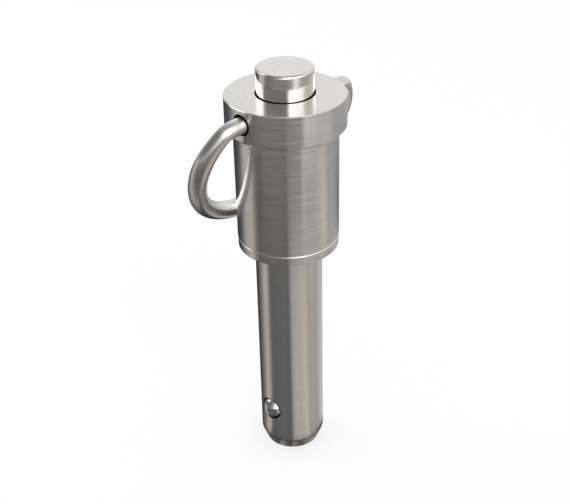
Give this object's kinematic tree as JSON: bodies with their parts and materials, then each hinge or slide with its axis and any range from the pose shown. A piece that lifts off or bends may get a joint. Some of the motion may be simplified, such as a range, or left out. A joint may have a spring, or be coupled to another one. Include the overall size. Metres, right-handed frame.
{
  "type": "ball lock pin",
  "caption": "Quick-release pin: a push button in a round flanged head lets locking balls retract into a chamfered shank; a wire pull ring hangs from the flange.",
  "frame": {"origin": "on the pin's axis in the plane of the shoulder, which is the underside of the collar", "axes": "+Z along the pin's axis towards the button; X along the ring's hinge line and through both locking balls; the ring leans towards +Y"},
  "size_m": [0.0391, 0.0239, 0.0816],
  "materials": {
    "turned_steel": "fine turned stainless steel",
    "ground_steel": "smooth ground stainless steel",
    "polished_steel": "polished stainless steel",
    "spring_steel": "drawn spring wire",
    "ring_wire": "satin polished stainless steel wire"
  },
  "bodies": {
    "pin_body": {"head_body": "turned_steel", "shank": "ground_steel", "return_spring": "spring_steel"},
    "button": {"push_button": "polished_steel", "spindle": "ground_steel"},
    "front_ball": {"locking_ball_front": "polished_steel"},
    "rear_ball": {"locking_ball_rear": "polished_steel"},
    "ring": {"pull_ring": "ring_wire"}
  },
  "joints": [
    {"name": "button_press", "type": "slide", "parent": "pin_body", "child": "button", "axis": [0, 0, -1], "range_m": [0, 0.004], "stiffness_N_per_m": 2500, "springref_m": -0.004, "deforming": ["return_spring"]},
    {"name": "front_ball_slide", "type": "slide", "parent": "pin_body", "child": "front_ball", "axis": [1, 0, 0], "range_m": [0, 0.00101]},
    {"name": "rear_ball_slide", "type": "slide", "parent": "pin_body", "child": "rear_ball", "axis": [-1, 0, 0], "range_m": [0, 0.00101]},
    {"name": "ring_swing", "type": "hinge", "parent": "pin_body", "child": "ring", "pos_m": [0, 0, 0.02727], "axis": [1, 0, 0], "range_deg": [0, 308]}
  ],
  "couplings": [
    {"joint": "front_ball_slide", "follows": "button_press", "ratio": 0.2525},
    {"joint": "rear_ball_slide", "follows": "button_press", "ratio": 0.2525}
  ]
}
